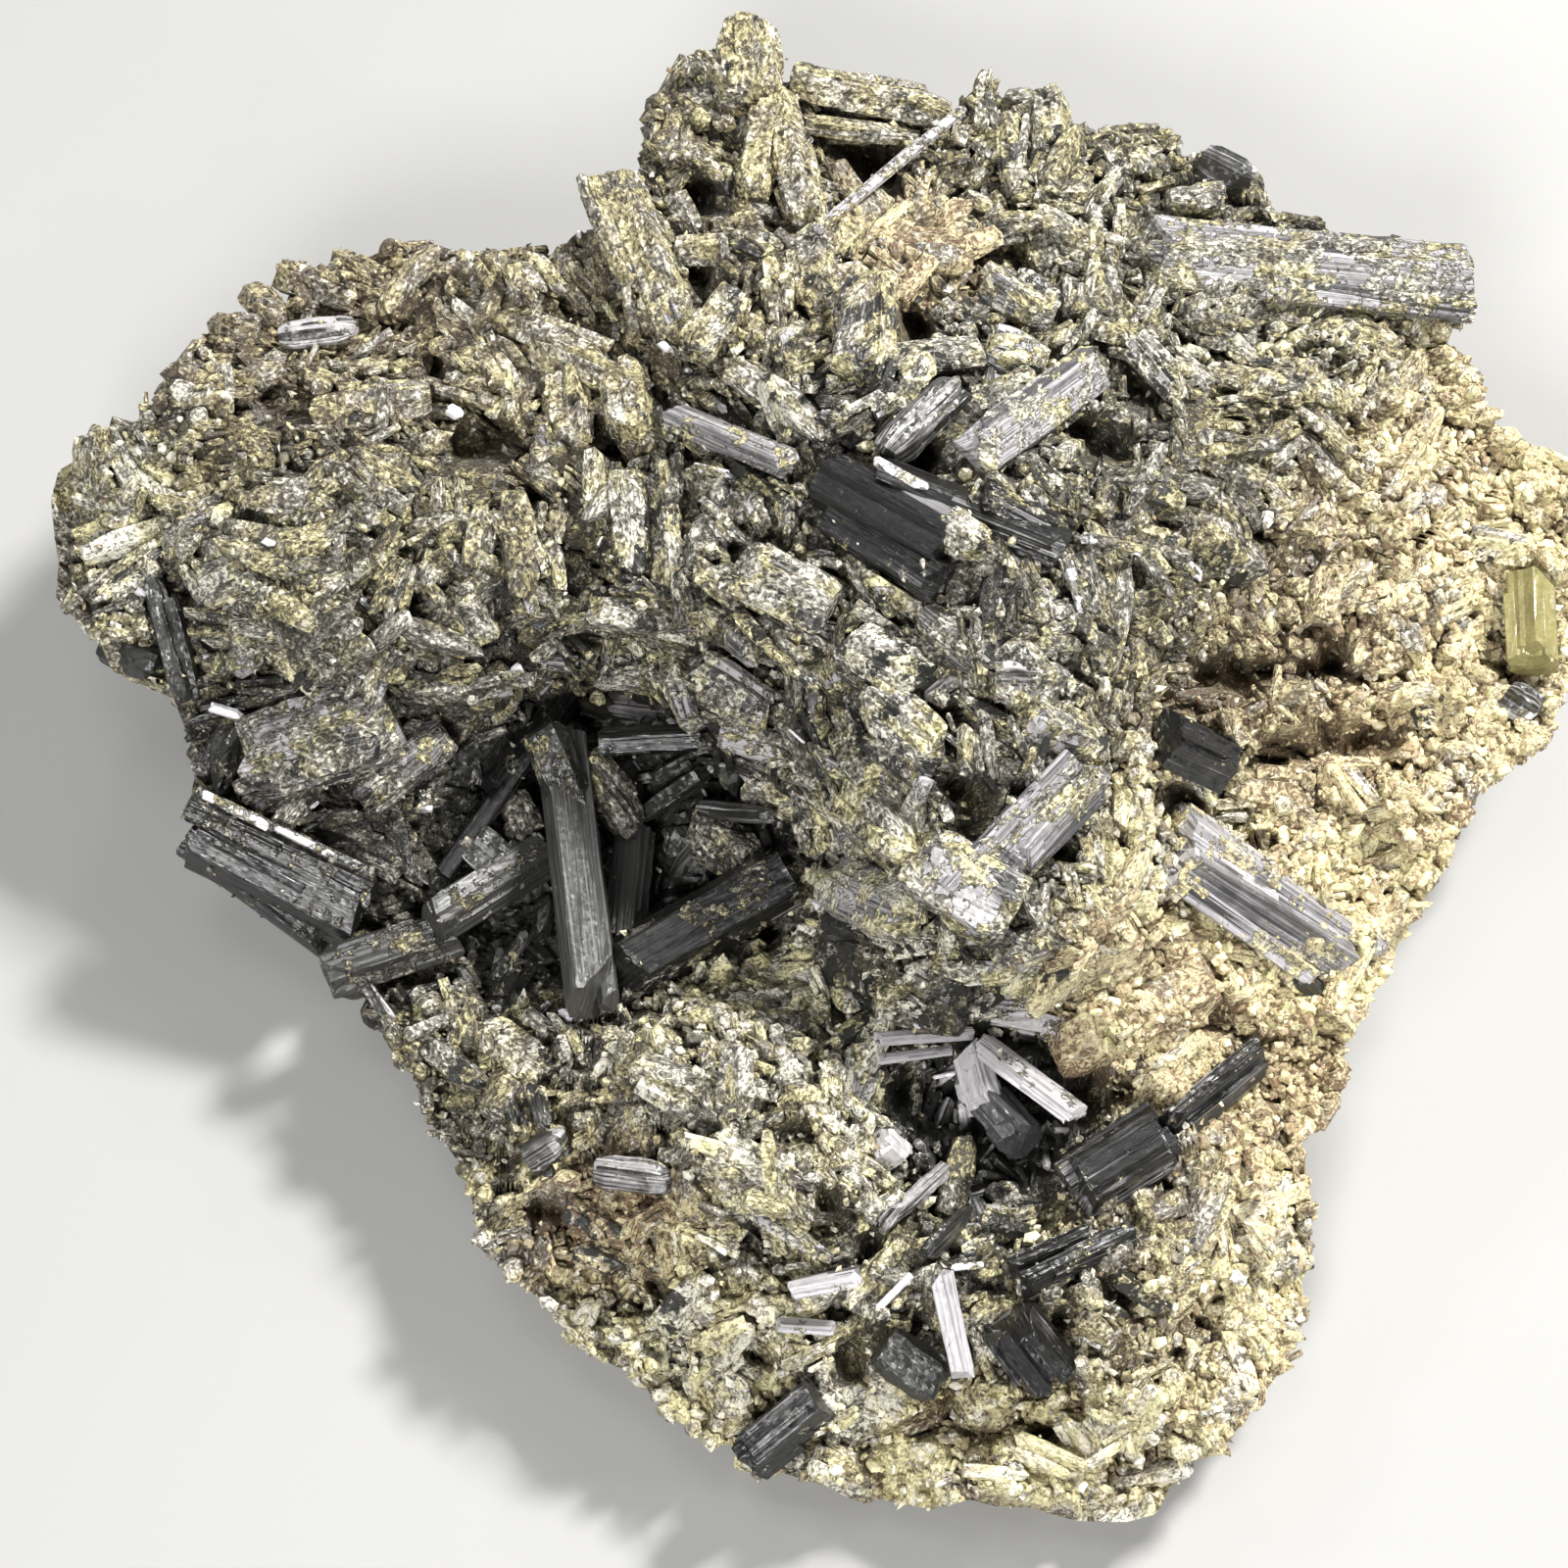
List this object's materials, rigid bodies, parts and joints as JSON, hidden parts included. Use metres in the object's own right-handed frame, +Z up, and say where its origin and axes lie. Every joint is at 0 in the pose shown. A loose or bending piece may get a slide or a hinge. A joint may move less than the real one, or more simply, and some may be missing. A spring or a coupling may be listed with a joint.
{
  "type": "epidote crystal cluster",
  "caption": "Loose hand-sized mineral specimen: dark prismatic epidote crystals set in a rough, sugary ochre matrix, resting on a flat underside.",
  "frame": {"origin": "middle of the flat underside, at table level", "axes": "+Z up; +Y away from the low front edge; +X to the right as seen from the front"},
  "size_m": [0.164, 0.1564, 0.0588],
  "materials": {
    "sugary_matrix": "rough granular ochre and olive-grey crust",
    "dark_epidote": "glossy, finely striated, green-black",
    "coated_epidote": "dark crystal under a thin grey and yellow-green crust",
    "pale_epidote": "lilac-grey satin faces with fine striations",
    "yellow_epidote": "waxy, slightly translucent yellow-olive"
  },
  "bodies": {
    "root": {"matrix": "sugary_matrix", "left_edge_bundle": "dark_epidote", "left_coated_block": "coated_epidote", "lower_left_block": "coated_epidote", "spray_prism": "dark_epidote", "hollow_tall_prism": "dark_epidote", "hollow_second_prism": "dark_epidote", "hollow_lying_prism": "dark_epidote", "hollow_cross_prism": "dark_epidote", "hollow_left_rods": "dark_epidote", "centre_black_blades": "dark_epidote", "centre_bright_prism": "pale_epidote", "striated_fan": "coated_epidote", "tall_stub": "coated_epidote", "top_edge_prism": "coated_epidote", "top_needle": "pale_epidote", "top_peak_block": "coated_epidote", "top_left_prisms": "coated_epidote", "top_tent_prisms": "coated_epidote", "small_upper_prism": "coated_epidote", "right_rim_slab": "coated_epidote", "right_striated_bundle": "pale_epidote", "right_short_prism": "dark_epidote", "ridge_long_prisms": "coated_epidote", "lower_hollow_needle_1": "pale_epidote", "lower_hollow_needle_2": "pale_epidote", "lower_hollow_blocks": "dark_epidote", "lower_dark_block": "dark_epidote", "lower_right_rods": "dark_epidote", "bottom_blade": "pale_epidote", "bottom_rods": "dark_epidote", "bottom_black_block": "dark_epidote", "bottom_edge_prism": "dark_epidote", "pale_rod_1": "pale_epidote", "pale_rod_2": "pale_epidote", "yellow_crystal": "yellow_epidote"}
  },
  "joints": []
}
